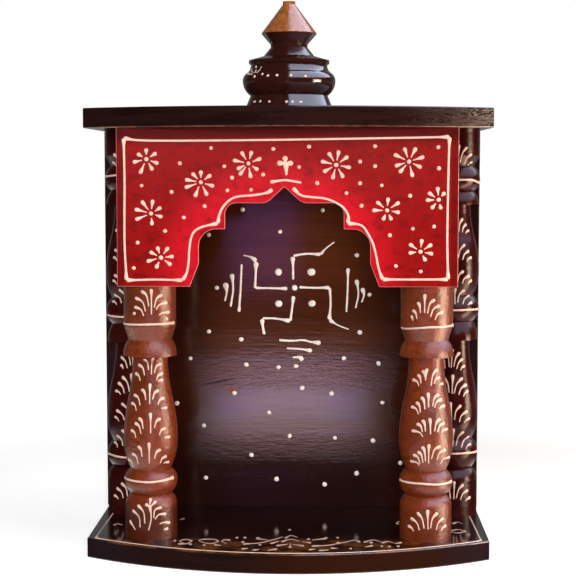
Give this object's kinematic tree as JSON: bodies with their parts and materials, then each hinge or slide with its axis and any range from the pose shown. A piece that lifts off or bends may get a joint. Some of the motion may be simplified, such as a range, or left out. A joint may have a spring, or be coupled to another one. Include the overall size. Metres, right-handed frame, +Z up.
{
  "type": "household pooja mandir (table-top wooden home shrine)",
  "caption": "Table-top wooden home shrine: bow-fronted base and roof boards on turned pillars, a back panel, an arched red valance and a turned pot finial.",
  "frame": {"origin": "centre of the bounding box at the underside of the base board, where the shrine stands", "axes": "+Z up; -Y to the front, where the arch and the bowed edges are; +X to the right seen from the front"},
  "size_m": [0.3076, 0.17, 0.422],
  "materials": {
    "board_lacquer": "near-black brown gloss lacquer with brushed grain and cream cone-painted border",
    "panel_lacquer": "very dark red-brown gloss lacquer with horizontal grain and raised cream painting",
    "red_paint": "bright red semi-gloss paint, darker where worn, with raised cream painting",
    "front_pillar_lacquer": "copper-brown gloss lacquer with raised cream painting",
    "rear_pillar_lacquer": "dark red-brown gloss lacquer with raised cream painting",
    "pot_lacquer": "very dark red-brown gloss lacquer",
    "spire_lacquer": "golden copper-brown gloss lacquer",
    "cone_painting": "raised cream paste, squeezed from a cone onto the lacquer"
  },
  "bodies": {
    "root": {"base_board": "board_lacquer", "roof_board": "board_lacquer", "back_panel": "panel_lacquer", "valance": "red_paint", "front_pillar_left": "front_pillar_lacquer", "front_pillar_right": "front_pillar_lacquer", "rear_pillar_left": "rear_pillar_lacquer", "rear_pillar_right": "rear_pillar_lacquer", "finial_pot": "pot_lacquer", "finial_spire": "spire_lacquer"}
  },
  "joints": []
}
